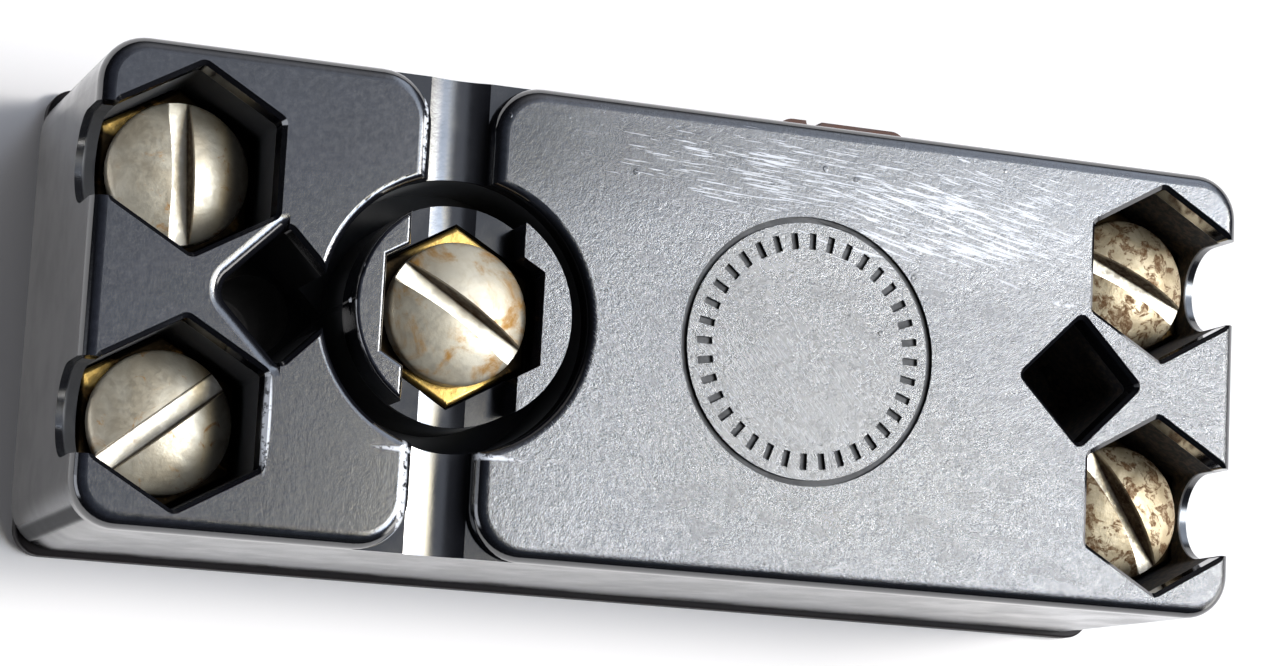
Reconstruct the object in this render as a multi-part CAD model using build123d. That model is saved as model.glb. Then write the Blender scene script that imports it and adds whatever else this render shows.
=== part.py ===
from build123d import *
import os

# Knife blade switch in a moulded case. Two knife blades ride on a slide bar and run into spring
# jaws at either end of the case. Four end terminals feed the jaws, and a fifth terminal near the
# middle feeds the blades through a strap that they slide along.
#
# Millimetres. +Z is up through the terminal face, X runs along the case and Y across it.
# The origin is the middle of the flat front, which the switch lies on.

# Case: a box open towards the front, with the terminal face on top.
case_length = 66.0
case_width = 25.4
case_height = 16.6              # parting line to terminal face
corner_radius = 2.5
face_edge_radius = 0.85
side_wall = 1.8
mouth_bevel = 0.25              # bevel round the mouth of each pocket in the terminal face
end_margin = 1.0                # how far a cutter runs past the face that it opens
layout_shift = 0.25             # middle of the mounts and end terminals, from the case's middle

# Front cover and what holds it.
cover_thickness = 1.1
cover_overhang = 0.3            # past the long sides of the case
cover_end_inset = 0.3           # inside the ends of the case
cover_corner_radius = 1.5
cover_edge_radius = 0.15
cover_screw_inset_x = 2.4       # screw axis to the end of the case
cover_screw_inset_y = 2.3       # screw axis to the side of the case
cover_screw_d = 2.2
cover_screw_head_d = 3.6
cover_screw_head_height = 0.8
cover_screw_length = 7.0
cover_screw_sink = 0.05         # head below the flat front
cover_column_d = 4.2            # corner column that the screw bites into
liner_thickness = 0.5
liner_clearance = 0.25

# Holes that the switch is mounted by, with a square pocket for a nut at the terminal face.
mount_spacing = 45.8
mount_hole_d = 4.4
mount_column_wall = 1.3
nut_pocket_side = 5.1
nut_pocket_depth = 8.0
nut_pocket_corner = 0.3
nut_pocket_lip_corner = 1.0     # corner of the left pocket that points to the end
nut_pocket_lip_radius = 0.8     # round lip on the sides that meet there
end_rib_width = 4.0             # rib from a mounting column to the end wall

# Terminals at the four corners.
end_terminal_inset = 5.1        # terminal axis to the end of the case, before the layout's shift
end_terminal_side_inset = 6.1   # terminal axis to the side of the case
end_plate_depth = 5.8           # terminal face to the brass
terminal_web = 2.4              # case between a terminal's head and the cavity
wire_notch_width = 4.95
wire_notch_depth = 5.4
pocket_corner = 0.35

# Terminal near the middle, in a raised collar with a moat round it.
centre_terminal_x = -13.3
centre_plate_depth = 1.2
collar_d = 11.8
ear_rise = 1.1                  # top of the collar's ears above the terminal face
ear_opening = 6.2
ear_tip_radius = 0.4
ear_edge_radius = 0.25
moat_width = 1.4
moat_depth = 6.0
moat_lip_radius = 0.45

# Wire groove across the terminal face, through the middle terminal.
groove_offset = -0.25           # groove to the middle terminal
groove_width = 3.3
groove_depth = 1.1
groove_dish = 0.25
groove_corner_radius = 2.8

# Engraved circle on the terminal face.
medallion_x = 6.6
medallion_d = 14.8
medallion_line = 0.35
medallion_depth = 0.2
tick_count = 36
tick_length = 0.9
tick_width = 0.4
tick_inset = 0.9                # circle to the outer end of a tick

# Binding-head terminal screw, number 8-32.
thread_d = 4.17
thread_clearance = 0.04
screw_tip_chamfer = 0.4
screw_tip_gap = 0.4
screw_head_d = 7.6
screw_rim_height = 1.1
screw_rim_radius = 0.2
screw_shoulder_radius = 0.4
screw_dome_height = 1.2
screw_slot_width = 1.2
screw_slot_depth = 1.4
screw_seat = 0.02               # under the head
slot_angles = {
    "left_far": 94.0,
    "left_near": 40.0,
    "centre": -32.0,
    "right_far": -24.0,
    "right_near": -57.0,
}

# Brass terminal post: hexagon head, round body, and a rivet end in the cavity.
post_head_flats = 8.35
post_head_height = 1.6
post_edge_radius = 0.25
post_body_d = 5.8
post_tap_floor = 0.6            # brass left under the tapped hole
post_rivet_d = 3.0
post_rivet_head_d = 4.4
post_rivet_head_height = 0.6
pocket_clearance = 0.13         # between a hexagon head and its pocket
seat_clearance = 0.04           # between fixed pieces and their holes

# Straps and spring jaws, all from one thickness of bronze.
strap_thickness = 0.8
jaw_width = 4.8
jaw_length = 6.0
jaw_lip = 0.9                   # flare at the jaw's mouth
common_strap_width = 4.0
common_strap_reach = 22.4       # middle terminal to the strap's far end

# Knife blades: one H-shaped copper stamping.
blade_thickness = 1.0
blade_length = 22.0
blade_engagement = 5.0          # length of blade in the jaws
blade_clearance = 0.05          # blade to each jaw leaf and to the common strap
blade_side_gap = 0.2
blade_edge_bevel = 0.3
bridge_length = 9.0

# Slide bar, its lug, and the carrier that holds the blades on it.
slide_rest_x = 7.1
slide_travel = 9.5
slide_bar_length = 37.0
slide_bar_thickness = 1.7
slide_clearance = 0.1
slide_stop_gap = 0.3
guide_clearance = 0.3
lug_offset = 7.05               # lug's middle from the bar's middle
lug_width = 8.4
lug_reach = 3.5                 # past the side of the case
lug_notch_radius = 0.5
lug_notch_offset = -1.85        # notch from the lug's middle
lug_corner_radius = 1.0
carrier_gap = 0.1               # carrier to the jaws' lips at each end of the travel
carrier_corner_radius = 0.6
rivet_row = 3.6                 # rivet axis from the bar's centre line
rivet_d = 1.6
rivet_head_d = 2.2
rivet_head_height = 0.4

# Levels, from the flat front upwards.
parting_z = cover_thickness
face_z = parting_z + case_height
end_plate_z = face_z - end_plate_depth
end_floor_z = end_plate_z - post_head_height
ceiling_z = end_floor_z - terminal_web
strap_z = ceiling_z - strap_thickness
blade_top_z = strap_z - blade_clearance
blade_z = blade_top_z - blade_thickness
lower_leaf_top_z = blade_z - blade_clearance
lower_leaf_z = lower_leaf_top_z - strap_thickness
liner_top_z = parting_z + liner_thickness
bar_z = liner_top_z + slide_clearance
bar_top_z = bar_z + slide_bar_thickness
centre_plate_z = face_z - centre_plate_depth
centre_floor_z = centre_plate_z - post_head_height
ear_top_z = face_z + ear_rise
moat_floor_z = face_z - moat_depth
groove_floor_z = face_z - groove_depth

# Places in plan.
cavity_length = case_length - 2 * side_wall
cavity_width = case_width - 2 * side_wall
end_terminal_x = case_length / 2 - end_terminal_inset
terminal_row_y = case_width / 2 - end_terminal_side_inset
left_mount_x = layout_shift - mount_spacing / 2
right_mount_x = layout_shift + mount_spacing / 2
mount_column_d = mount_hole_d + 2 * mount_column_wall
cover_screw_x = case_length / 2 - cover_screw_inset_x
cover_screw_y = case_width / 2 - cover_screw_inset_y
pocket_flats = post_head_flats + 2 * pocket_clearance
groove_x = centre_terminal_x + groove_offset
moat_d = collar_d + 2 * moat_width
jaw_inner_y = terminal_row_y - jaw_width / 2
jaw_outer_y = terminal_row_y + jaw_width / 2
blade_width = jaw_width - strap_thickness - 2 * blade_side_gap
blade_row_y = jaw_inner_y + blade_side_gap + blade_width / 2
right_mouth_x = slide_rest_x + blade_length / 2 - blade_engagement
left_mouth_x = slide_rest_x - slide_travel - blade_length / 2 + blade_engagement
lug_x = slide_rest_x + lug_offset

end_terminals = {
    "left_far": (layout_shift - end_terminal_x, terminal_row_y),
    "left_near": (layout_shift - end_terminal_x, -terminal_row_y),
    "right_far": (layout_shift + end_terminal_x, terminal_row_y),
    "right_near": (layout_shift + end_terminal_x, -terminal_row_y),
}
mount_places = [(left_mount_x, 0), (right_mount_x, 0)]
cover_screw_places = [(sx * cover_screw_x, sy * cover_screw_y) for sx in (-1, 1) for sy in (-1, 1)]


def prism(outline, low_z, high_z):
    """A flat outline raised from one level to another."""
    return Pos(0, 0, low_z) * extrude(outline, high_z - low_z)


def rod(place, diameter, low_z, high_z):
    """A round bar standing at a place in plan."""
    x, y = place
    return Pos(x, y, (low_z + high_z) / 2) * Cylinder(diameter / 2, high_z - low_z)


def block(low_x, high_x, low_y, high_y, low_z, high_z):
    """A box from its lowest and highest corners."""
    size = (high_x - low_x, high_y - low_y, high_z - low_z)
    middle = Pos((low_x + high_x) / 2, (low_y + high_y) / 2, (low_z + high_z) / 2)
    return middle * Box(*size)


def hexagon(place, flats, corner=0.0):
    """Hexagon with its points towards +Y and -Y, across flats, with rounded corners if asked."""
    outline = Pos(*place) * Rot(0, 0, 30) * RegularPolygon(flats / 2, 6, major_radius=False)
    return fillet(outline.vertices(), corner) if corner else outline


def mouth_cut(outline, floor_z):
    """Cutter for a pocket in the terminal face, with a small bevel round its mouth."""
    shaft = prism(outline, floor_z, face_z + end_margin)
    bevel = Pos(0, 0, face_z - mouth_bevel) * extrude(outline, 2 * mouth_bevel, taper=-45)
    return shaft + bevel


def fillet_top(solid, radius):
    """Round the edges of a solid's highest flat face."""
    return fillet(solid.faces().sort_by(Axis.Z)[-1].edges(), radius)


def rings(solid):
    """The closed edges of a turned solid, from the lowest up."""
    return solid.edges().filter_by(lambda edge: edge.is_closed).sort_by(Axis.Z)


def case_blank():
    """The case's outside: a block with a land on each side of the wire groove."""
    outline = RectangleRounded(case_length, case_width, corner_radius)
    blank = prism(outline, parting_z, groove_floor_z)
    for side in (-1, 1):
        edge_x = groove_x + side * groove_width / 2
        reach = Pos(edge_x + side * case_length / 2, 0)
        land = outline & reach * RectangleRounded(case_length, case_width, groove_corner_radius)
        blank += fillet_top(prism(land, groove_floor_z, face_z), face_edge_radius)
    half_width = groove_width / 2
    dish_radius = (half_width**2 + groove_dish**2) / (2 * groove_dish)
    dish_z = groove_floor_z - groove_dish + dish_radius
    dish = Pos(groove_x, 0, dish_z) * Rot(90, 0, 0) * Cylinder(dish_radius, 2 * case_width)
    dish &= block(
        groove_x - half_width,
        groove_x + half_width,
        -case_width,
        case_width,
        groove_floor_z - groove_dish,
        groove_floor_z,
    )
    return blank - dish


def centre_terminal_cuts():
    """What is cut for the middle terminal: open top, moat with a round lip, hexagon pocket."""
    place = (centre_terminal_x, 0)
    moat = rod(place, moat_d, moat_floor_z, face_z + end_margin)
    moat -= rod(place, collar_d, moat_floor_z, centre_plate_z)
    lip_d = moat_d + 2 * moat_lip_radius
    lip = rod(place, lip_d, face_z - moat_lip_radius, face_z + end_margin)
    lip -= Pos(centre_terminal_x, 0, face_z - moat_lip_radius) * Torus(lip_d / 2, moat_lip_radius)
    pocket = prism(hexagon(place, pocket_flats), centre_floor_z, face_z)
    return moat + lip + pocket


def collar_ears():
    """The two crescents of the collar that stand above the terminal face."""
    place = (centre_terminal_x, 0)
    outline = Pos(*place) * (Circle(collar_d / 2) - Rectangle(ear_opening, 2 * collar_d))
    outline -= hexagon(place, pocket_flats)
    ears = []
    for crescent in outline.faces():
        tips = crescent.vertices().group_by(lambda v: abs(v.X - centre_terminal_x))[0]
        rounded = fillet(tips, ear_tip_radius)
        ears.append(fillet_top(prism(rounded, centre_plate_z, ear_top_z), ear_edge_radius))
    return ears


def end_terminal_cuts(place):
    """A hexagon pocket, and the U-shaped notch that a wire enters by through the end wall."""
    x, y = place
    side = 1 if x > 0 else -1
    cut = mouth_cut(hexagon(place, pocket_flats, pocket_corner), end_floor_z)
    radius = wire_notch_width / 2
    low_z = face_z - wire_notch_depth + radius
    end_x = side * (case_length / 2 + end_margin)
    low_x, high_x = sorted((x, end_x))
    cut += block(low_x, high_x, y - radius, y + radius, low_z, face_z + end_margin)
    notch = Cylinder(radius, high_x - low_x)
    return cut + Pos((low_x + high_x) / 2, y, low_z) * Rot(0, 90, 0) * notch


def nut_pocket(x, y):
    """Square pocket with its corners along X and Y. The left one has a round lip on its left."""
    square = Pos(x, y) * Rot(0, 0, 45) * Rectangle(nut_pocket_side, nut_pocket_side)
    corners = square.vertices().sort_by(Axis.X)
    floor_z = face_z - nut_pocket_depth
    if x > 0:
        return mouth_cut(fillet(corners, nut_pocket_corner), floor_z)
    square = fillet(corners[1:], nut_pocket_corner)
    square = fillet(square.vertices().sort_by(Axis.X)[:1], nut_pocket_lip_corner)
    return mouth_cut(square, floor_z) + lip_cut(square, x, y, floor_z)


def lip_cut(outline, x, y, floor_z):
    """Cutter for the round lip on the left half of a pocket's mouth."""
    reach = nut_pocket_side
    above = block(x - reach, x + reach, y - reach, y + reach, face_z, face_z + end_margin)
    flare = prism(outline, floor_z, face_z) + above
    floor_edges, shaft_edges, mouth_edges, *above_edges = flare.edges().group_by(Axis.Z)
    rim = mouth_edges.filter_by(lambda edge: edge.length < reach)
    flare = fillet(rim, nut_pocket_lip_radius)
    return flare & block(x - reach, x, y - reach, y + reach, floor_z, face_z)


def cavity():
    """The hollow behind the cover, round the mounting columns and the corner columns."""
    outline = Rectangle(cavity_length, cavity_width)
    for x, y in mount_places:
        outline -= Pos(x, y) * Circle(mount_column_d / 2)
        side = 1 if x > 0 else -1
        rib_length = cavity_length / 2 - abs(x) + end_margin
        outline -= Pos(x + side * rib_length / 2, y) * Rectangle(rib_length, end_rib_width)
    for place in cover_screw_places:
        outline -= Pos(*place) * Circle(cover_column_d / 2)
    return prism(outline, parting_z, ceiling_z)


def medallion_engraving():
    """A thin circle, with a ring of ticks inside it."""
    radius = medallion_d / 2
    outline = Circle(radius) - Circle(radius - medallion_line)
    tick_middle = radius - tick_inset - tick_length / 2
    for tick in PolarLocations(tick_middle, tick_count):
        outline += tick * Rectangle(tick_length, tick_width)
    return prism(Pos(medallion_x, 0) * outline, face_z - medallion_depth, face_z + end_margin)


def lug_slot():
    """The slot in the far wall that the slide bar's lug runs in, closed by the cover."""
    low_x = lug_x - slide_travel - lug_width / 2 - slide_stop_gap
    high_x = lug_x + lug_width / 2 + slide_stop_gap
    low_y = cavity_width / 2 - end_margin
    high_y = case_width / 2 + end_margin
    return block(low_x, high_x, low_y, high_y, parting_z, bar_top_z + guide_clearance)


def case():
    solid = case_blank() - centre_terminal_cuts()
    for ear in collar_ears():
        solid += ear
    posts = [(centre_terminal_x, 0)]
    for place in end_terminals.values():
        solid -= end_terminal_cuts(place)
        posts.append(place)
    solid -= cavity()
    solid -= lug_slot()
    solid -= medallion_engraving()
    for place in posts:
        solid -= rod(place, post_body_d + 2 * seat_clearance, ceiling_z, centre_floor_z)
    for x, y in mount_places:
        solid -= nut_pocket(x, y)
        solid -= rod((x, y), mount_hole_d, parting_z, face_z)
    for place in cover_screw_places:
        top_z = cover_screw_sink + cover_screw_length + screw_tip_gap
        solid -= rod(place, cover_screw_d + 2 * seat_clearance, parting_z, top_z)
    return solid


def front_cover():
    length = case_length - 2 * cover_end_inset
    width = case_width + 2 * cover_overhang
    plate = prism(RectangleRounded(length, width, cover_corner_radius), 0, parting_z)
    plate = fillet(plate.faces().filter_by(Axis.Z).edges(), cover_edge_radius)
    for place in mount_places:
        plate -= rod(place, mount_hole_d, 0, parting_z)
    for x, y in cover_screw_places:
        plate -= rod((x, y), cover_screw_d + 2 * seat_clearance, 0, parting_z)
        plate -= cover_screw((x, y), seat_clearance)
        plate -= rod((x, y), cover_screw_head_d + 2 * seat_clearance, 0, cover_screw_sink)
    return plate


def cover_screw(place, grow=0.0):
    """Flat-head screw with its head at the front; grow makes it a cutter for its own hole."""
    x, y = place
    head_radius = cover_screw_head_d / 2 + grow
    shank_radius = cover_screw_d / 2 + grow
    head_z = cover_screw_sink + cover_screw_head_height / 2
    head = Pos(x, y, head_z) * Cone(head_radius, shank_radius, cover_screw_head_height)
    low_z = cover_screw_sink + cover_screw_head_height
    shank = rod(place, 2 * shank_radius, low_z, cover_screw_sink + cover_screw_length)
    return head + shank


def cover_screws():
    """Four separate slotted screws."""
    slot_width = cover_screw_d / 4
    slot_depth = cover_screw_head_height / 2
    screws = []
    for x, y in cover_screw_places:
        slot = Pos(x, y, cover_screw_sink + slot_depth / 2)
        slot = slot * Rot(0, 0, 45) * Box(2 * cover_screw_head_d, slot_width, slot_depth)
        screws.append(cover_screw((x, y)) - slot)
    return Compound(children=screws)


def cover_liner():
    """Insulating sheet on the cover, cut out round the columns."""
    gap = liner_clearance
    outline = Rectangle(cavity_length - 2 * gap, cavity_width - 2 * gap)
    for x, y in mount_places:
        side = 1 if x > 0 else -1
        rib_length = cavity_length / 2 - abs(x)
        rib = Rectangle(rib_length, end_rib_width + 2 * gap)
        outline -= Pos(x, y) * Circle(mount_column_d / 2 + gap)
        outline -= Pos(x + side * rib_length / 2, y) * rib
    for place in cover_screw_places:
        outline -= Pos(*place) * Circle(cover_column_d / 2 + gap)
    return prism(outline, parting_z, liner_top_z)


def terminal_post(place, plate_z):
    """Brass post with a tapped hexagon head, riveted over its strap in the cavity."""
    head_z = plate_z - post_head_height
    head = fillet_top(prism(hexagon(place, post_head_flats), head_z, plate_z), post_edge_radius)
    post = head + rod(place, post_body_d, ceiling_z, head_z)
    post += rod(place, post_rivet_d, strap_z, ceiling_z)
    post += rod(place, post_rivet_head_d, strap_z - post_rivet_head_height, strap_z)
    tap_d = thread_d + 2 * thread_clearance
    return post - rod(place, tap_d, ceiling_z + post_tap_floor, plate_z)


def terminal_screw(place, plate_z, slot_angle):
    """Binding-head screw with a domed, slotted head seated on its post."""
    head_z = plate_z + screw_seat
    tip_z = ceiling_z + post_tap_floor + screw_tip_gap
    shank = rod(place, thread_d, tip_z, head_z)
    shank = chamfer(shank.faces().sort_by(Axis.Z)[0].edges(), screw_tip_chamfer)
    top_z = head_z + screw_rim_height + screw_dome_height
    radius = screw_head_d / 2
    dome_radius = (radius**2 + screw_dome_height**2) / (2 * screw_dome_height)
    dome = Pos(*place, top_z - dome_radius) * Sphere(dome_radius)
    head = dome & rod(place, screw_head_d, head_z, top_z)
    head = fillet(rings(head)[-1], screw_shoulder_radius)
    head = fillet(rings(head)[0], screw_rim_radius)
    slot_z = top_z - screw_slot_depth / 2
    slot = Box(2 * screw_head_d, screw_slot_width, screw_slot_depth)
    return shank + head - Pos(*place, slot_z) * Rot(0, 0, slot_angle) * slot


def jaw(place):
    """Strap from an end terminal, folded into a U that a blade slides into endways."""
    x, y = place
    side = 1 if x > 0 else -1
    row = 1 if y > 0 else -1
    mouth_x = right_mouth_x if x > 0 else left_mouth_x
    heel_x = mouth_x + side * jaw_length
    low_x, high_x = sorted((mouth_x, x))
    low_y, high_y = sorted((row * jaw_inner_y, row * jaw_outer_y))
    piece = block(low_x, high_x, low_y, high_y, strap_z, ceiling_z)
    piece += rod(place, jaw_width, strap_z, ceiling_z)
    low_x, high_x = sorted((mouth_x, heel_x))
    piece += block(low_x, high_x, low_y, high_y, lower_leaf_z, lower_leaf_top_z)
    web_y = sorted((row * (jaw_outer_y - strap_thickness), row * jaw_outer_y))
    piece += block(low_x, high_x, *web_y, lower_leaf_z, ceiling_z)
    lip_x = mouth_x - side * jaw_lip
    lip_drop = jaw_lip / 2
    corners = [
        (mouth_x, lower_leaf_top_z),
        (mouth_x, lower_leaf_z),
        (lip_x, lower_leaf_z - lip_drop),
        (lip_x, lower_leaf_top_z - lip_drop),
    ]
    lip = extrude(Plane.XZ * Polygon(*corners, align=None), jaw_width / 2, both=True)
    piece += Pos(0, y, 0) * lip
    return piece - rod(place, post_rivet_d + 2 * seat_clearance, strap_z, ceiling_z)


def common_strap():
    """Strap from the middle terminal that the blades' bridge slides along."""
    place = (centre_terminal_x, 0)
    far_end = (centre_terminal_x + common_strap_reach, 0)
    half = common_strap_width / 2
    strap = block(place[0], far_end[0], -half, half, strap_z, ceiling_z)
    strap += rod(place, post_rivet_head_d, strap_z, ceiling_z)
    strap += rod(far_end, common_strap_width, strap_z, ceiling_z)
    return strap - rod(place, post_rivet_d + 2 * seat_clearance, strap_z, ceiling_z)


def knife_blades():
    """Two blades joined by a bridge, stamped in one piece, with thinned ends."""
    stamping = Box(bridge_length, 2 * blade_row_y, blade_thickness)
    for row in (-1, 1):
        blade = Box(blade_length, blade_width, blade_thickness)
        ends = blade.faces().filter_by(Axis.X).edges().filter_by(Axis.Y)
        stamping += Pos(0, row * blade_row_y, 0) * chamfer(ends, blade_edge_bevel)
    stamping = Pos(slide_rest_x, 0, blade_z + blade_thickness / 2) * stamping
    for row in (-1, 1):
        place = (slide_rest_x, row * rivet_row)
        stamping -= rod(place, rivet_d + 2 * seat_clearance, blade_z, blade_top_z)
    return stamping


def blade_carrier():
    """Moulded block that insulates the blades from the slide bar."""
    half_length = blade_length / 2 - blade_engagement - jaw_lip - carrier_gap
    half_width = blade_row_y + blade_width / 2
    x = slide_rest_x
    carrier = block(x - half_length, x + half_length, -half_width, half_width, bar_top_z, blade_z)
    carrier = fillet(carrier.edges().filter_by(Axis.Z), carrier_corner_radius)
    for row in (-1, 1):
        place = (x, row * rivet_row)
        carrier -= rod(place, rivet_d + 2 * seat_clearance, bar_top_z, blade_z)
    return carrier


def slide_bar():
    """Fibre bar with guide slots for the mounting columns and a lug out through the far wall."""
    width = cavity_width - 2 * slide_clearance
    outline = Pos(slide_rest_x, 0) * Rectangle(slide_bar_length, width)
    slot_width = mount_column_d + 2 * guide_clearance
    for x, shift in ((right_mount_x, 0), (left_mount_x, slide_travel)):
        side = 1 if x > 0 else -1
        column = Pos(x + shift, 0)
        outline -= column * Circle(slot_width / 2)
        outline -= column * Pos(side * slide_bar_length / 2, 0) * Rectangle(slide_bar_length, slot_width)
    root_y = width / 2
    tip_y = case_width / 2 + lug_reach
    lug = Pos(lug_x, (root_y + tip_y) / 2) * Rectangle(lug_width, tip_y - root_y)
    lug = fillet(lug.vertices().group_by(Axis.Y)[-1], lug_corner_radius)
    lug -= Pos(lug_x + lug_notch_offset, tip_y) * Circle(lug_notch_radius)
    bar = prism(outline + lug, bar_z, bar_top_z)
    for row in (-1, 1):
        place = (slide_rest_x, row * rivet_row)
        bar -= rod(place, rivet_d + 2 * seat_clearance, bar_z, bar_top_z)
    return bar


def slide_rivets():
    """Two separate rivets through the blades, the carrier and the slide bar."""
    rivets = []
    for row in (-1, 1):
        place = (slide_rest_x, row * rivet_row)
        rivet = rod(place, rivet_d, bar_z, blade_top_z)
        rivets.append(rivet + rod(place, rivet_head_d, blade_top_z, blade_top_z + rivet_head_height))
    return Compound(children=rivets)


nodes = {
    "case": case(),
    "front_cover": front_cover(),
    "cover_screws": cover_screws(),
    "cover_liner": cover_liner(),
    "centre_post": terminal_post((centre_terminal_x, 0), centre_plate_z),
    "centre_screw": terminal_screw((centre_terminal_x, 0), centre_plate_z, slot_angles["centre"]),
    "common_strap": common_strap(),
    "knife_blades": knife_blades(),
    "blade_carrier": blade_carrier(),
    "slide_bar": slide_bar(),
    "slide_rivets": slide_rivets(),
}
for corner, place in end_terminals.items():
    nodes[f"post_{corner}"] = terminal_post(place, end_plate_z)
    nodes[f"screw_{corner}"] = terminal_screw(place, end_plate_z, slot_angles[corner])
    nodes[f"jaw_{corner}"] = jaw(place)

os.makedirs("parts", exist_ok=True)
for name, shape in nodes.items():
    export_step(shape, f"parts/{name}.step")
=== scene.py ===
import math

import bmesh
import bpy
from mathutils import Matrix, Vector, noise


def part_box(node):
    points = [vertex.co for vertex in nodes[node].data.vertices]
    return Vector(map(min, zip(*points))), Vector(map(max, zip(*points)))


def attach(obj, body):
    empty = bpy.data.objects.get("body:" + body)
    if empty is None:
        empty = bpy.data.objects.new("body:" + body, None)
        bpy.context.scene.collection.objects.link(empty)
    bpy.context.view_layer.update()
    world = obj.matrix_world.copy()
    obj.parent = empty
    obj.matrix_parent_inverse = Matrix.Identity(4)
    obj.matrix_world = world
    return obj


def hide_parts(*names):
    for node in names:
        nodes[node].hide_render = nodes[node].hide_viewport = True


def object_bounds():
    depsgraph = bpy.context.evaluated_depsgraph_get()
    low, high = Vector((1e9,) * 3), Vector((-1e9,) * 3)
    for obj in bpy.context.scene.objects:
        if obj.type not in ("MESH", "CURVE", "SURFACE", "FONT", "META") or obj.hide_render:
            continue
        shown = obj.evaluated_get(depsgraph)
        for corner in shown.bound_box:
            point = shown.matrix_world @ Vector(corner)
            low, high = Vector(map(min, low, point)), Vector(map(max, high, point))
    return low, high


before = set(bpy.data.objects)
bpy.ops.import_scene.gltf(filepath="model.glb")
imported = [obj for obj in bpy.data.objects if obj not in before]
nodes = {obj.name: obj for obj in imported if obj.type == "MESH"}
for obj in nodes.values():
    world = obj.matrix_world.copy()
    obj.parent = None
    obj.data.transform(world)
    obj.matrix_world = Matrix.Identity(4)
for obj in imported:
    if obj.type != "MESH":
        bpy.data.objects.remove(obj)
cad_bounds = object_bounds()

# Lengths are in millimetres until MM makes them the scene's metres. The floor's size and the camera's
# place are written in metres.
MM = 0.001
EAR_RISE = 1.1  # top of the collar's ears above the terminal face
case_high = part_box("case")[1] / MM
FACE_Z = case_high.z - EAR_RISE
MEDALLION_X = 6.6  # middle of the engraved circle
MEDALLION_RADIUS = 7.4


# Shader graphs


class Graph:
    """A material or world node tree, with short calls for the nodes used here."""

    def __init__(self, tree):
        self.tree = tree
        tree.nodes.clear()

    def add(self, kind, inputs=None, **settings):
        node = self.tree.nodes.new(kind)
        for name, value in settings.items():
            setattr(node, name, value)
        for name, value in (inputs or {}).items():
            self.put(node, name, value)
        return node

    def put(self, node, name, value):
        socket = node.inputs[name]
        if isinstance(value, bpy.types.NodeSocket):
            self.tree.links.new(value, socket)
        else:
            socket.default_value = value

    def math(self, operation, a, b=0.0, c=0.0):
        return self.add("ShaderNodeMath", {0: a, 1: b, 2: c}, operation=operation).outputs[0]

    def times(self, first, *others):
        for other in others:
            first = self.math("MULTIPLY", first, other)
        return first

    def most(self, first, *others):
        for other in others:
            first = self.math("MAXIMUM", first, other)
        return first

    def axes(self, vector):
        return self.add("ShaderNodeSeparateXYZ", {0: vector}).outputs

    def length(self, vector):
        return self.add("ShaderNodeVectorMath", {0: vector}, operation="LENGTH").outputs["Value"]

    def dot(self, a, b):
        return self.add("ShaderNodeVectorMath", {0: a, 1: b}, operation="DOT_PRODUCT").outputs["Value"]

    def ramp(self, value, low, high, to_low=0.0, to_high=1.0):
        """value from low..high to to_low..to_high along a smooth step, held outside."""
        node = self.add(
            "ShaderNodeMapRange",
            {"Value": value, "From Min": low, "From Max": high, "To Min": to_low, "To Max": to_high},
            interpolation_type="SMOOTHSTEP",
        )
        return node.outputs["Result"]

    def window(self, value, low, high, soft):
        """1 between two values, falling to 0 over a soft edge outside them."""
        return self.times(self.ramp(value, low - soft, low), self.ramp(value, high + soft, high))

    def noise(self, vector, scale, detail=3.0, rough=0.55, distortion=0.0):
        inputs = {"Vector": vector, "Scale": scale, "Detail": detail, "Roughness": rough}
        inputs["Distortion"] = distortion
        return self.add("ShaderNodeTexNoise", inputs).outputs["Fac"]

    def cells(self, vector, scale, out="Distance"):
        return self.add("ShaderNodeTexVoronoi", {"Vector": vector, "Scale": scale}).outputs[out]

    def mapped(self, vector, turn=(0, 0, 0), scale=(1, 1, 1), shift=(0, 0, 0)):
        angles = [math.radians(angle) for angle in turn]
        inputs = {"Vector": vector, "Location": shift, "Rotation": angles, "Scale": scale}
        return self.add("ShaderNodeMapping", inputs).outputs[0]

    def mix(self, factor, a, b):
        """From colour a to colour b, each of them a socket or three values."""
        node = self.add("ShaderNodeMix", {0: factor}, data_type="RGBA")
        for index, value in ((6, a), (7, b)):
            self.put(node, index, (*value, 1.0) if isinstance(value, tuple) else value)
        return node.outputs[2]

    def bump(self, height, strength, distance, normal=None):
        inputs = {"Height": height, "Strength": strength, "Distance": distance}
        if normal is not None:
            inputs["Normal"] = normal
        return self.add("ShaderNodeBump", inputs).outputs[0]


def material(name, inputs):
    """A new material: its graph, its Principled shader and the place on the piece in millimetres."""
    made = bpy.data.materials.new(name)
    made.use_nodes = True
    graph = Graph(made.node_tree)
    shader = graph.add("ShaderNodeBsdfPrincipled", inputs)
    output = graph.add("ShaderNodeOutputMaterial")
    graph.tree.links.new(shader.outputs[0], output.inputs["Surface"])
    coords = graph.add("ShaderNodeTexCoord")
    scaled = {0: coords.outputs["Object"], "Scale": 1 / MM}
    place = graph.add("ShaderNodeVectorMath", scaled, operation="SCALE")
    graph.object_normal = coords.outputs["Normal"]
    return made, graph, shader, place.outputs[0]


def patch(g, place, middle, radii, soft=0.5):
    """1 inside an ellipse in plan, falling smoothly to 0 at its edge."""
    shift = (-middle[0] / radii[0], -middle[1] / radii[1], 0)
    flat = g.mapped(place, shift=shift, scale=(1 / radii[0], 1 / radii[1], 0))
    return g.ramp(g.length(flat), 1.0, soft)


# Mouldings


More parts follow.
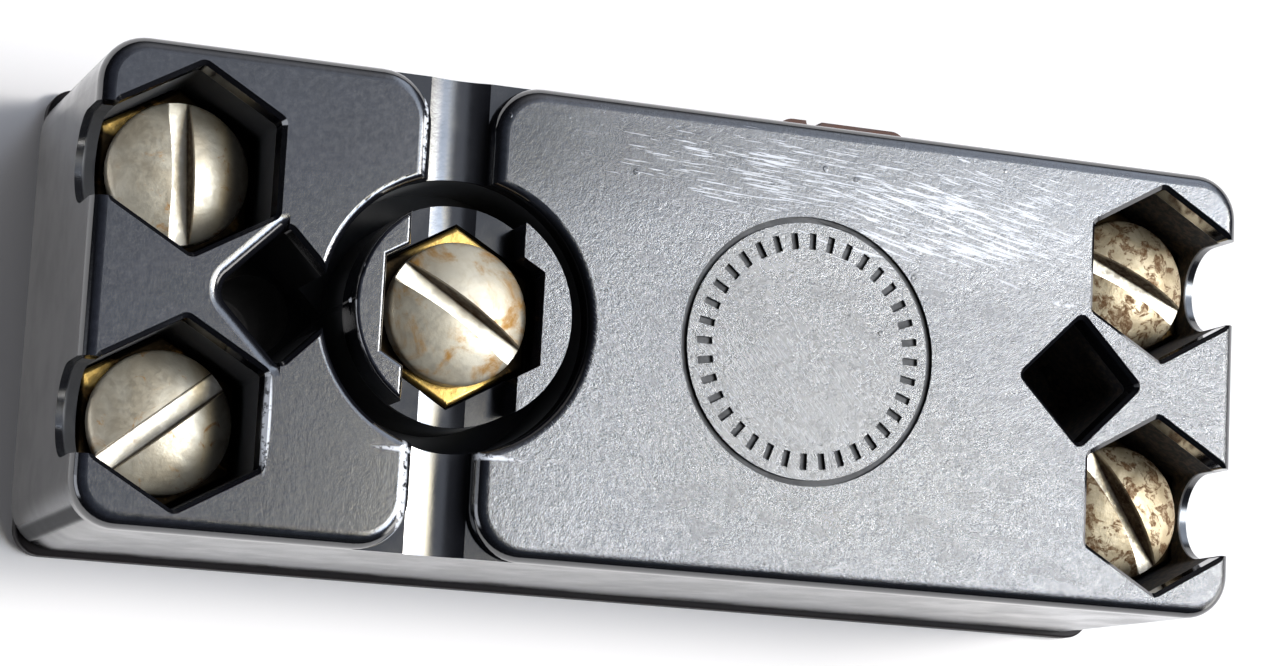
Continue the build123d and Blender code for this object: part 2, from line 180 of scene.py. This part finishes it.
class Moulding:
    """The textures of a black phenolic moulding, and the graph that they are in."""

    def __init__(self, name, specular):
        inputs = {"IOR": 1.6, "Specular IOR Level": specular}
        self.material, self.graph, self.shader, self.place = material(name, inputs)
        g = self.graph
        self.cloud = g.noise(self.place, 0.25, 4.0, 0.6)
        self.mottle = g.noise(self.place, 2.6, 7.0, 0.75)
        self.relief = g.math("MULTIPLY_ADD", g.noise(self.place, 8.0, 3.0, 0.6), 0.4, self.mottle)
        clouded = g.ramp(self.cloud, 0.3, 0.75, 0.65, 1.0)
        self.film = g.times(clouded, g.ramp(self.mottle, 0.3, 0.7, 0.7, 1.2))

    def connect(self, colour, roughness, normal):
        """Give the shader what it shows. Returns the material."""
        for name, value in (("Base Color", colour), ("Roughness", roughness), ("Normal", normal)):
            self.graph.put(self.shader, name, value)
        return self.material


def plain_moulding(name, dark, haze):
    """A matt moulding with an even haze."""
    surface = Moulding(name, specular=0.12)
    g = surface.graph
    return surface.connect(
        colour=g.mix(g.times(surface.film, 0.8), dark, haze),
        roughness=g.ramp(surface.mottle, 0.25, 0.8, 0.45, 0.6),
        normal=g.bump(surface.relief, 0.15, 0.04 * MM),
    )


class CaseZones:
    """Where on the case a place is: each zone is 1 inside and 0 outside, with soft edges."""

    def __init__(self, g, place):
        self.x, self.y, self.height = g.axes(place)

        def depth(none, full):
            """From 0 at one depth below the terminal face to 1 at another."""
            return g.ramp(self.height, FACE_Z - none, FACE_Z - full)

        def at_side(value, half_size):
            """1 at the outer walls across one axis, and 0 further in."""
            return g.ramp(g.math("ABSOLUTE", value), half_size - 0.6, half_size - 0.3)

        upward = g.ramp(g.axes(g.object_normal)[2], 0.80, 0.985)
        self.face = g.times(upward, depth(0.4, 0.1))
        self.near_face = depth(0.7, 0.3)
        self.groove_floor = g.times(depth(0.9, 1.05), depth(1.5, 1.4))
        at_sides = g.most(at_side(self.x, case_high.x), at_side(self.y, case_high.y))
        self.outside = g.most(at_sides, depth(1.6, 1.4))
        self.worn_side = g.ramp(self.x, -20.0, 2.0)
        from_middle = g.length(g.mapped(place, shift=(-MEDALLION_X, 0, 0), scale=(1, 1, 0)))
        self.medallion = g.ramp(from_middle, MEDALLION_RADIUS, MEDALLION_RADIUS - 0.3)
        around = g.ramp(from_middle, MEDALLION_RADIUS + 0.5, MEDALLION_RADIUS + 0.2)
        self.engraved = g.times(depth(0.06, 0.14), depth(0.34, 0.26), around)


# Scratches of the terminal face, most of them near the far side of its right half:
# their angle, length and width, a seed, the middle and radii of their patch, and their strength.
SCRATCHES = (
    (-10, 1.7, 0.11, 3.1, (17, 8.4), (10, 4.4), 1.0),
    (-13, 2.8, 0.16, 7.7, (14, 7.8), (12, 4.6), 1.0),
    (-3, 2.2, 0.09, 5.3, (6, 9.5), (15, 3.4), 0.8),
    (28, 0.9, 0.08, 9.2, (20, 1.0), (11, 9.0), 0.16),
    (-50, 0.8, 0.08, 1.4, (2, -3.0), (20, 11.0), 0.08),
)

# Painted highlights where edges catch the light, on partly worn edges, as pale places by their middle and
# radii: the near left pocket's inner edge, two stretches of the left land's edge along the groove, the
# lands just past the moat's near side, and a place beside the far corner of the right nut pocket.
EDGE_HIGHLIGHTS = (
    ((-23.15, -6.6), (0.24, 3.0)),
    ((-15.75, -9.6), (0.30, 3.4)),
    ((-15.65, 9.8), (0.16, 3.2)),
    ((-13.3, -7.4), (4.6, 0.22)),
    ((22.0, 4.2), (0.9, 0.2)),
)


def dashes(g, place, angle, length, width, seed, more):
    """Short thin scratches along one direction, closer together where more is high."""
    lined_up = g.add(
        "ShaderNodeMapping",
        {
            "Vector": place,
            "Location": (seed, 2 * seed, 0),
            "Rotation": (0, 0, math.radians(angle)),
            "Scale": (length, width, 1),
        },
        vector_type="TEXTURE",
    ).outputs[0]
    level = g.math("MULTIPLY_ADD", more, 0.16, g.noise(lined_up, 1.0, 2.0, 0.6))
    return g.ramp(level, 0.70, 0.76)


def scratches(g, place):
    groups = []
    for angle, length, width, seed, middle, radii, strength in SCRATCHES:
        lines = dashes(g, place, angle, length, width, seed, patch(g, place, middle, radii, 0.2))
        groups.append(g.times(lines, patch(g, place, middle, radii, 0.7), strength))
    return g.most(*groups)


# Painted highlights on edges that catch the light, broken up by noise.
def painted_edge_highlights(g, place):
    places = g.most(*(patch(g, place, middle, radii, 0.6) for middle, radii in EDGE_HIGHLIGHTS))
    return g.times(places, g.ramp(g.noise(place, 3.2, 3.0, 0.6), 0.38, 0.52))


def case_colour(surface, zones, marks_and_highlights, dark, haze):
    """Black under a film that is thick on the face, with dust, a creamier medallion, a paler warm patch,
    pale scratches and painted edge highlights.
    """
    g, place = surface.graph, surface.place
    film = g.times(surface.film, g.math("MULTIPLY_ADD", zones.face, 0.85, 0.1), zones.outside)
    in_right_pockets = g.times(g.ramp(zones.x, 20.0, 23.0), g.ramp(zones.outside, 0.5, 0.0))
    dusty = g.times(in_right_pockets, g.ramp(surface.mottle, 0.42, 0.62))
    # A paler warm patch on the near right part of the face.
    warm_near_right = g.times(patch(g, place, (9.0, -6.0), (16.0, 8.0), 0.3), zones.face)
    layers = (
        (film, haze),
        (dusty, (0.075, 0.05, 0.03)),
        (g.times(film, 0.65, zones.medallion), (0.062, 0.057, 0.044)),
        (g.times(warm_near_right, film), (0.042, 0.039, 0.031)),
        # Pale scratches, and painted highlights where edges catch the light.
        (g.times(marks_and_highlights, 0.8), (0.76, 0.78, 0.83)),
        (zones.engraved, dark),
    )
    colour = dark
    for factor, over in layers:
        colour = g.mix(factor, colour, over)
    return colour


def case_roughness(surface, zones, marks_and_highlights):
    """Polished walls and groove, a mottled face with matt blots, and dull pocket walls and marks."""
    g = surface.graph
    worn = g.ramp(surface.mottle, 0.3, 0.72, 0.12, 0.22)
    smoother_up = g.ramp(zones.height, FACE_Z - 1.3, FACE_Z - 0.85, 1.0, 0.4)
    wall = g.times(g.ramp(surface.cloud, 0.3, 0.7, 0.14, 0.26), smoother_up)
    rough = g.math("MULTIPLY_ADD", g.math("SUBTRACT", worn, wall), zones.face, wall)
    rough = g.math("ADD", rough, g.ramp(zones.outside, 0.0, 1.0, 0.75, 0.0))
    blots = g.noise(g.mapped(surface.place, scale=(0.7, 1.4, 1)), 0.75, 6.0, 0.72, 0.6)
    matt = g.times(zones.face, zones.worn_side, g.ramp(blots, 0.40, 0.70))
    for zone, change in ((matt, 0.15), (marks_and_highlights, 0.3), (zones.engraved, 0.5), (zones.groove_floor, -0.06)):
        rough = g.math("MULTIPLY_ADD", zone, change, rough)
    return rough


def case_normal(surface, zones):
    """A grained face, more so on its right and near parts, with a few small pits in raised rings."""
    g, place = surface.graph, surface.place
    strength = g.times(zones.face, g.math("MULTIPLY_ADD", zones.worn_side, 0.62, 0.14))
    strength = g.times(strength, g.ramp(zones.y, 2.0, 10.0, 1.0, 0.35))
    normal = g.bump(surface.relief, g.math("ADD", strength, 0.05), 0.05 * MM)
    pit_scale = 0.55
    from_pit = g.cells(place, pit_scale)
    chosen = g.ramp(g.axes(g.cells(place, pit_scale, out="Color"))[0], 0.86, 0.88)
    ring = g.times(g.ramp(from_pit, 0.11, 0.075), chosen)
    hole = g.times(g.ramp(from_pit, 0.06, 0.04), chosen)
    pits = g.math("SUBTRACT", g.times(ring, 0.5), hole)
    return g.bump(g.times(pits, zones.face), 0.6, 0.06 * MM, normal)


def case_moulding(name, dark, haze):
    """The case: polished sides, and a worn terminal face."""
    surface = Moulding(name, specular=0.9)
    g, place = surface.graph, surface.place
    zones = CaseZones(g, place)
    # Painted highlights on edges near the face that catch the light, partly edge wear.
    wear_and_highlight = g.times(painted_edge_highlights(g, place), zones.near_face, zones.outside)
    marks_and_highlights = g.most(g.times(scratches(g, place), zones.face), wear_and_highlight)
    return surface.connect(
        colour=case_colour(surface, zones, marks_and_highlights, dark, haze),
        roughness=case_roughness(surface, zones, marks_and_highlights),
        normal=case_normal(surface, zones),
    )


# Metals and fibre

SCREW_FILM = 0.3  # how much less metallic a screw's tarnished plating is than its rubbed places
# Dark brown for the posts away from their lit places: tarnish and painted shade.
BRASS_TARNISH_AND_SHADE = (0.022, 0.015, 0.008)
RUBBED_METAL = (1.0, 0.93, 0.78)
# Dark brown in screw slots and under the heads: dirt and painted shade.
GRIME_AND_SHADE = (0.035, 0.017, 0.008)


def lit_brass_places(g, place):
    """1 where the brass is left clean and lit: the middle screw's near and far sides, and a little at the
    left.
    """
    _, y, height = g.axes(place)
    tips = g.times(g.ramp(g.math("ABSOLUTE", y), 2.9, 3.6), g.ramp(height, FACE_Z - 2.0, FACE_Z - 1.6))
    far_left = patch(g, place, (-30.4, 9.2), (1.9, 0.9))
    near_left = patch(g, place, (-31.0, -4.2), (1.3, 1.0))
    return g.most(tips, g.most(far_left, near_left))


def metal_material(name, clean, dull, stain, rough, stain_level, scale=1.0, screw=False, lit_mask=None):
    """Bare or plated metal with a dulled film and stained patches, larger where scale is low.

    With screw, vertex attributes say where it is worn bare, and where dirt and painted shade darken it.
    Given a mask function, the metal is painted dark brown outside that mask: tarnish and painted shade.
    """
    film = SCREW_FILM if screw else 0.0
    made, g, shader, place = material(name, {"Metallic": 1.0 - film})
    cloud = g.noise(place, 0.5 * scale, 4.0, 0.6, 0.4)
    fleck = g.noise(place, 3.0 * scale, 5.0, 0.65)
    blotch = g.noise(g.mapped(place, shift=(11, 5, 2)), 0.75 * scale, 5.0, 0.65, 0.8)
    colour = g.mix(g.ramp(cloud, 0.35, 0.65), clean, dull)
    colour = g.mix(g.ramp(fleck, 0.5, 0.75, 0.0, 0.35), colour, dull)
    # Outside the places that light reaches, the posts are painted dark brown: tarnish and painted shade.
    if lit_mask is not None:
        colour = g.mix(lit_mask(g, place), BRASS_TARNISH_AND_SHADE, colour)
    stained = g.ramp(blotch, stain_level, stain_level + 0.13 / scale)
    stained = g.times(stained, g.ramp(fleck, 0.3, 0.6, 0.5, 1.0))
    colour = g.mix(stained, colour, stain)
    roughness = g.ramp(fleck, 0.3, 0.7, rough - 0.06, rough + 0.1)
    roughness = g.math("ADD", roughness, g.times(stained, 0.15))
    if screw:
        bare = g.add("ShaderNodeAttribute", attribute_name="bare").outputs["Fac"]
        colour = g.mix(g.times(bare, g.ramp(fleck, 0.3, 0.55, 1.0, 0.8)), colour, RUBBED_METAL)
        # Slot walls and the parts under the head are darkened: dirt and painted shade.
        dirt_and_shade = g.add("ShaderNodeAttribute", attribute_name="grime_and_shade").outputs["Fac"]
        dirt_and_shade = g.times(dirt_and_shade, g.ramp(fleck, 0.25, 0.6, 0.75, 1.0))
        colour = g.mix(dirt_and_shade, colour, GRIME_AND_SHADE)
        roughness = g.math("MULTIPLY_ADD", dirt_and_shade, 0.3, roughness)
        metal = g.math("MULTIPLY_ADD", bare, film, 1.0 - film)
        g.put(shader, "Metallic", g.times(metal, g.ramp(dirt_and_shade, 0.0, 1.0, 1.0, 0.15)))
    relief = g.math("ADD", cloud, g.times(fleck, 0.35))
    g.put(shader, "Base Color", colour)
    g.put(shader, "Roughness", roughness)
    g.put(shader, "Normal", g.bump(relief, 0.4, 0.12 * MM))
    return made


def fibre_material(name, dark, light, streak):
    """Vulcanised fibre sheet: matt, with short fibres along its length."""
    made, g, shader, place = material(name, {"IOR": 1.45})
    strands = g.noise(g.mapped(place, turn=(0, 0, 7), scale=(0.5, 5, 3)), 1.6, 5.0, 0.7)
    cloud = g.noise(place, 0.35, 3.0)
    colour = g.mix(g.ramp(strands, 0.3, 0.7), dark, light)
    colour = g.mix(g.ramp(cloud, 0.45, 0.7, 0.0, 0.6), colour, streak)
    g.put(shader, "Base Color", colour)
    g.put(shader, "Roughness", g.ramp(strands, 0.3, 0.7, 0.5, 0.75))
    g.put(shader, "Normal", g.bump(strands, 0.35, 0.06 * MM))
    return made


# Each finish by its name: the function that makes it, and that function's settings.
FINISHES = {
    "case_moulding": (case_moulding, dict(dark=(0.004, 0.004, 0.005), haze=(0.021, 0.023, 0.031))),
    "cover_plate": (plain_moulding, dict(dark=(0.006, 0.003, 0.003), haze=(0.014, 0.011, 0.012))),
    "carrier_moulding": (plain_moulding, dict(dark=(0.012, 0.008, 0.007), haze=(0.035, 0.03, 0.028))),
    "screw_nickel": (
        metal_material,
        dict(
            clean=(0.70, 0.64, 0.51),
            dull=(0.54, 0.47, 0.35),
            stain=(0.46, 0.24, 0.07),
            rough=0.46,
            stain_level=0.57,
            screw=True,
        ),
    ),
    "screw_amber": (
        metal_material,
        dict(
            clean=(0.58, 0.53, 0.42),
            dull=(0.45, 0.39, 0.29),
            stain=(0.36, 0.19, 0.045),
            rough=0.46,
            stain_level=0.46,
            scale=0.6,
            screw=True,
        ),
    ),
    "screw_stained": (
        metal_material,
        dict(
            clean=(0.60, 0.51, 0.35),
            dull=(0.40, 0.32, 0.20),
            stain=(0.13, 0.065, 0.025),
            rough=0.46,
            stain_level=0.49,
            scale=1.6,
            screw=True,
        ),
    ),
    "brass": (
        metal_material,
        dict(
            clean=(0.62, 0.42, 0.13),
            dull=(0.42, 0.27, 0.08),
            stain=(0.16, 0.09, 0.03),
            rough=0.34,
            stain_level=0.56,
            lit_mask=lit_brass_places,
        ),
    ),
    "bronze": (
        metal_material,
        dict(
            clean=(0.62, 0.38, 0.20),
            dull=(0.42, 0.25, 0.12),
            stain=(0.14, 0.08, 0.04),
            rough=0.3,
            stain_level=0.6,
        ),
    ),
    "copper": (
        metal_material,
        dict(
            clean=(0.72, 0.33, 0.20),
            dull=(0.45, 0.20, 0.12),
            stain=(0.12, 0.06, 0.04),
            rough=0.28,
            stain_level=0.6,
        ),
    ),
    "steel": (
        metal_material,
        dict(
            clean=(0.40, 0.39, 0.38),
            dull=(0.22, 0.21, 0.20),
            stain=(0.13, 0.06, 0.025),
            rough=0.4,
            stain_level=0.56,
        ),
    ),
    "liner_fibre": (
        fibre_material,
        dict(dark=(0.10, 0.10, 0.11), light=(0.20, 0.20, 0.21), streak=(0.14, 0.13, 0.12)),
    ),
    "slide_fibre": (
        fibre_material,
        dict(dark=(0.045, 0.018, 0.012), light=(0.11, 0.045, 0.028), streak=(0.13, 0.10, 0.09)),
    ),
}
finishes = {name: make(name, **settings) for name, (make, settings) in FINISHES.items()}
for node in nodes.values():
    for index, used in enumerate(node.material_slots):
        slot = used.material.name.split(".")[0]
        if slot in finishes:
            node.data.materials[index] = finishes[slot]


# Terminal screws

HEAD_SIDE = 1.1  # height of the head's straight side
HEAD_DOME = 1.2  # rise of the dome over it
HEAD_EDGE = 0.14  # round edge between them
SLOT_DEPTH = 1.4
SLOT_HALF_WIDTH = 0.6
SLOT_EDGE_STEPS = (0.03, 0.08, 0.16, 0.3, 0.55, 0.9)  # beyond the slot, where the mesh is finer
HEAD_STEPS = 9  # columns of the mesh from there to the rim
HEAD_ROWS = 13  # rows of the mesh from the middle to each end of the slot
# Rings down the head's side and under it: height over its underside, inset from the rim, and darkening by
# dirt and painted shade.
SIDE_RINGS = ((0.62, 0.0, 0.05), (0.3, 0.0, 0.2), (0.12, 0.04, 0.4), (0.0, 0.17, 0.7), (0.0, 0.8, 0.8))
UNDERSIDE_RADIUS = 2.0  # where the underside ends, inside the thread
THREAD_PITCH = 25.4 / 32
THREAD_OUTER = 2.08
THREAD_ROOT = 1.72
THREAD_SIDES = 28
THREAD_STEPS = 6  # along one pitch


def bridge(shape, a, b):
    """Faces between two closed rings of as many vertices."""
    for i in range(len(a)):
        j = (i + 1) % len(a)
        shape.faces.new((a[i], a[j], b[j], b[i]))


def quarter_sines(steps):
    """Numbers above 0 and up to 1, closer together towards 1."""
    return [math.sin(0.5 * math.pi * i / steps) for i in range(1, steps + 1)]


def head_columns(radius):
    """Places across the slot, close together at its edges, each with its part of the profile."""
    edge = [(SLOT_HALF_WIDTH + step, "dome") for step in SLOT_EDGE_STEPS]
    low = edge[-1][0]
    outer = [(low + (radius - low) * sine, "dome") for sine in quarter_sines(HEAD_STEPS)]
    slot = [
        (SLOT_HALF_WIDTH - 0.16, "floor"),
        (SLOT_HALF_WIDTH - 0.06, "foot"),
        (SLOT_HALF_WIDTH - 0.035, "wall"),
        (SLOT_HALF_WIDTH, "lip"),
    ]
    side = slot + edge + outer
    return [(-u, kind) for u, kind in reversed(side)] + [(0.0, "floor")] + side


class ScrewShape:
    """A binding-head screw: a domed, dented head with a worn slot, and a threaded shank."""

    def __init__(self, centre, low_z, top_z, radius, slot_angle, seed):
        self.shape = bmesh.new()
        self.grime_and_shade = self.shape.verts.layers.float.new("grime_and_shade")
        self.bare = self.shape.verts.layers.float.new("bare")
        self.centre = centre
        self.low_z = low_z
        self.top_z = top_z
        self.head_z = top_z - HEAD_DOME - HEAD_SIDE
        self.radius = radius
        turn = math.radians(slot_angle)
        self.along = Vector((math.cos(turn), math.sin(turn), 0))
        self.across = Vector((-math.sin(turn), math.cos(turn), 0))
        self.offset = Vector((seed * 3.7, seed * 1.9, 0))
        self.add_side(self.add_top())
        self.add_shank()

    def dome(self, u, v):
        """Height of the dented dome at a place across and along the slot."""
        ball = (self.radius**2 + HEAD_DOME**2) / (2 * HEAD_DOME)
        r = min(math.hypot(u, v), self.radius)
        z = self.top_z - ball + math.sqrt(ball**2 - r**2)
        over = max(0.0, r - (self.radius - HEAD_EDGE)) / HEAD_EDGE
        dent = noise.noise(Vector((u, v, 0)) * 0.55 + self.offset) * 0.05
        dent += noise.noise(Vector((u, v, 3)) * 1.7 + self.offset) * 0.018
        return z - HEAD_EDGE * (1 - math.sqrt(max(0.0, 1 - over**2))) - abs(dent) - 0.004

    def profile(self, kind, u, v):
        """Height, darkening by dirt and painted shade, and bareness at a place of one part of the profile.
        """
        top = self.dome(u, v)
        nick = noise.noise(Vector((v * 1.4, u, 7)) + self.offset)
        floor_z = self.top_z - SLOT_DEPTH + 0.02 * nick
        # The slot's walls and foot get dirt and painted shade; its floor and lip are worn bare.
        z, dirt_and_shade, wear_and_highlight = {
            "dome": (top, 0.0, 0.0),
            "lip": (top - 0.05 - 0.05 * abs(nick), 0.1, 0.6),
            "wall": (max(floor_z + 0.05, top - 0.28), 0.9, 0.0),
            "foot": (floor_z + 0.03, 0.9, 0.0),
            "floor": (floor_z, 0.25 * max(0.0, nick), 1.0),
        }[kind]
        return min(z, top), dirt_and_shade, wear_and_highlight

    def add_top(self):
        """The head's top, as columns of vertices along the slot."""
        sines = quarter_sines(HEAD_ROWS)
        rows = [-sine for sine in reversed(sines)] + [0.0] + sines
        grid = []
        for u, kind in head_columns(self.radius):
            reach = math.sqrt(max(0.0, self.radius**2 - u**2))
            column = []
            for row in rows:
                v = row * reach
                z, dirt_and_shade, wear_and_highlight = self.profile(kind, u, v)
                x, y, _ = self.along * v + self.across * u
                vert = self.shape.verts.new((Vector((x, y, 0)) + Vector((*self.centre, z))) * MM)
                vert[self.grime_and_shade] = dirt_and_shade
                vert[self.bare] = wear_and_highlight
                column.append(vert)
            grid.append(column)
        for a, b in zip(grid, grid[1:]):
            for i in range(len(rows) - 1):
                self.shape.faces.new((a[i], a[i + 1], b[i + 1], b[i]))
        return grid

    def add_side(self, grid):
        """Rings from the top's rim down the head's side and in under it."""
        ends = [column[-1] for column in grid]
        starts = [column[0] for column in reversed(grid)]
        rim = ends + list(reversed(grid[-1][1:-1])) + starts + grid[0][1:-1]
        rings = [rim]
        for rise, inset, dirt_and_shade in (*SIDE_RINGS, (0.0, self.radius - UNDERSIDE_RADIUS, 0.8)):
            ring = []
            for vert in rim:
                flat = Vector((vert.co.x / MM - self.centre[0], vert.co.y / MM - self.centre[1], 0))
                flat = flat.normalized() * (self.radius - inset)
                new = self.shape.verts.new((flat + Vector((*self.centre, self.head_z + rise))) * MM)
                new[self.grime_and_shade] = dirt_and_shade
                ring.append(new)
            rings.append(ring)
        for a, b in zip(rings, rings[1:]):
            bridge(self.shape, a, b)

    def add_shank(self):
        """The threaded shank: a helical V thread, tapered at the tip."""
        length = self.head_z - self.low_z
        steps = int(length / (THREAD_PITCH / THREAD_STEPS))
        rings = []
        for k in range(steps + 1):
            z = self.low_z + length * k / steps
            ring = []
            for i in range(THREAD_SIDES):
                turn = i / THREAD_SIDES
                phase = (z / THREAD_PITCH - turn) % 1.0
                r = THREAD_ROOT + (THREAD_OUTER - THREAD_ROOT) * (1 - abs(2 * phase - 1))
                r = min(r, THREAD_ROOT + (z - self.low_z) * 0.9 - 0.05)
                angle = 2 * math.pi * turn
                x = self.centre[0] + r * math.cos(angle)
                y = self.centre[1] + r * math.sin(angle)
                vert = self.shape.verts.new(Vector((x, y, z)) * MM)
                vert[self.grime_and_shade] = 0.5
                ring.append(vert)
            rings.append(ring)
        for a, b in zip(rings, rings[1:]):
            bridge(self.shape, a, b)
        self.shape.faces.new(tuple(reversed(rings[0])))
        self.shape.faces.new(tuple(rings[-1]))


def finish_shape(shape, name, finish):
    """Make an object from a shape: outward faces, smooth but for its sharp edges."""
    bmesh.ops.remove_doubles(shape, verts=shape.verts, dist=0.002 * MM)
    bmesh.ops.dissolve_degenerate(shape, edges=shape.edges, dist=0.001 * MM)
    bmesh.ops.recalc_face_normals(shape, faces=shape.faces)
    for face in shape.faces:
        face.smooth = True
    sharp_angle = math.radians(38.0)
    for edge in shape.edges:
        edge.smooth = len(edge.link_faces) == 2 and edge.calc_face_angle() < sharp_angle
    mesh = bpy.data.meshes.new(name)
    shape.to_mesh(mesh)
    shape.free()
    mesh.materials.append(finishes[finish])
    made = bpy.data.objects.new(name, mesh)
    bpy.context.scene.collection.objects.link(made)
    return made


# Each screw's body, the angle of its slot in degrees, and its finish.
SCREWS = {
    "centre_screw": ("screw_centre_body", -32.0, "screw_amber"),
    "screw_left_far": ("screw_left_far_body", 94.0, "screw_nickel"),
    "screw_left_near": ("screw_left_near_body", 40.0, "screw_nickel"),
    "screw_right_far": ("screw_right_far_body", -24.0, "screw_stained"),
    "screw_right_near": ("screw_right_near_body", -57.0, "screw_stained"),
}
for seed, (node, (body, angle, finish)) in enumerate(SCREWS.items(), start=1):
    low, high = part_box(node)
    middle = ((low.x + high.x) / 2 / MM, (low.y + high.y) / 2 / MM)
    radius = (high.x - low.x) / 2 / MM
    screw = ScrewShape(middle, low.z / MM, high.z / MM, radius, angle, seed)
    worn = finish_shape(screw.shape, node + "_worn", finish)
    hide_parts(node)
    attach(worn, body)


# Floor, light and camera


def floor():
    """The pale surface that the switch lies on, just below it."""
    mesh = bpy.data.meshes.new("floor")
    shape = bmesh.new()
    bmesh.ops.create_grid(shape, x_segments=1, y_segments=1, size=3.0)
    shape.to_mesh(mesh)
    shape.free()
    plane = bpy.data.objects.new("floor", mesh)
    plane.location.z = cad_bounds[0][2] - 0.02 * MM
    bpy.context.scene.collection.objects.link(plane)
    inputs = {"Roughness": 0.9, "Specular IOR Level": 0.2}
    inputs["Base Color"] = (0.90, 0.87, 0.85, 1)
    inputs["Emission Color"] = (1, 0.98, 0.99, 1)
    made, g, shader, _ = material("floor", inputs)
    path = g.add("ShaderNodeLightPath")
    shown = g.times(path.outputs["Is Camera Ray"], 0.02)
    mirrored = g.times(path.outputs["Is Glossy Ray"], 0.18)
    g.put(shader, "Emission Strength", g.math("ADD", shown, mirrored))
    mesh.materials.append(made)


def sky():
    """Soft light around the switch. The camera sees white in its place.

    A small dome stands overhead. To its right is a wide panel, cool at its outer and far parts, with a
    key at its outer edge. A fill comes from the far side, and there is a strip at each end.
    """
    world = bpy.data.worlds.new("studio")
    bpy.context.scene.world = world
    world.use_nodes = True
    g = Graph(world.node_tree)
    direction = g.add("ShaderNodeTexCoord").outputs["Generated"]
    x, y, up = g.axes(direction)

    def towards(aim):
        return g.math("MAXIMUM", g.dot(direction, tuple(Vector(aim).normalized())), 0.0)

    dome = g.ramp(towards((0.24, 0.20, 0.95)), 0.90, 0.98, 0.03, 0.78)
    dome = g.times(dome, g.ramp(x, 0.04, 0.16, 0.15, 1.0))
    panel = g.times(g.ramp(x, 0.30, 0.475), g.ramp(x, 0.70, 0.58))
    panel = g.times(panel, g.ramp(y, -0.40, -0.20), g.ramp(y, 0.08, 0.24, 1.0, 0.14))
    panel = g.times(panel, g.ramp(up, 0.1, 0.4))
    cool = g.most(g.ramp(x, 0.43, 0.48), g.ramp(y, 0.16, 0.21))
    panel_colour = g.mix(cool, (1.0, 0.90, 0.66), (0.70, 0.81, 1.0))
    key = g.math("POWER", towards((0.68, 0.08, 0.73)), 300.0)
    far = g.math("POWER", towards((0.25, 0.80, 0.55)), 14.0)
    left = g.times(g.ramp(x, -0.74, -0.86), g.window(y, -0.40, 0.05, 0.12))
    left = g.times(left, g.window(up, 0.12, 0.42, 0.08))
    right = g.times(g.ramp(x, 0.74, 0.84), g.window(y, -0.55, -0.05, 0.15))
    right = g.times(right, g.window(up, 0.06, 0.40, 0.08))
    lights = (
        ((0.78, 0.85, 1.0, 1), dome),
        (panel_colour, g.times(panel, 18.5)),
        ((1.0, 0.97, 0.92, 1), g.times(key, 95.0)),
        ((0.97, 0.97, 1.0, 1), g.times(far, 0.7)),
        ((0.86, 0.90, 1.0, 1), g.times(left, 3.0)),
        ((1.0, 0.98, 0.95, 1), g.times(right, 4.0)),
    )
    total = None
    for colour, strength in lights:
        part = g.add("ShaderNodeBackground", {"Color": colour, "Strength": strength}).outputs[0]
        total = part if total is None else g.add("ShaderNodeAddShader", {0: total, 1: part}).outputs[0]
    white = g.add("ShaderNodeBackground", {"Color": (1, 1, 1, 1), "Strength": 1.0}).outputs[0]
    seen = g.add("ShaderNodeLightPath").outputs["Is Camera Ray"]
    shown = g.add("ShaderNodeMixShader", {0: seen, 1: total, 2: white}).outputs[0]
    output = g.add("ShaderNodeOutputWorld")
    g.tree.links.new(shown, output.inputs["Surface"])


def camera():
    """A long lens above the switch, a little to its left and towards its near side."""
    data = bpy.data.cameras.new("camera")
    data.sensor_fit = "HORIZONTAL"
    data.sensor_width = 36.0
    data.lens = 97.3096
    data.clip_start = 0.01
    data.clip_end = 20.0
    view = bpy.data.objects.new("camera", data)
    view.location = (-0.065177, -0.028893, 0.189587)
    view.rotation_euler = [math.radians(a) for a in (7.92699694, -20.29719055, 3.08352899)]
    bpy.context.scene.collection.objects.link(view)
    bpy.context.scene.camera = view


floor()
sky()
camera()
bpy.context.scene.view_settings.view_transform = "Standard"
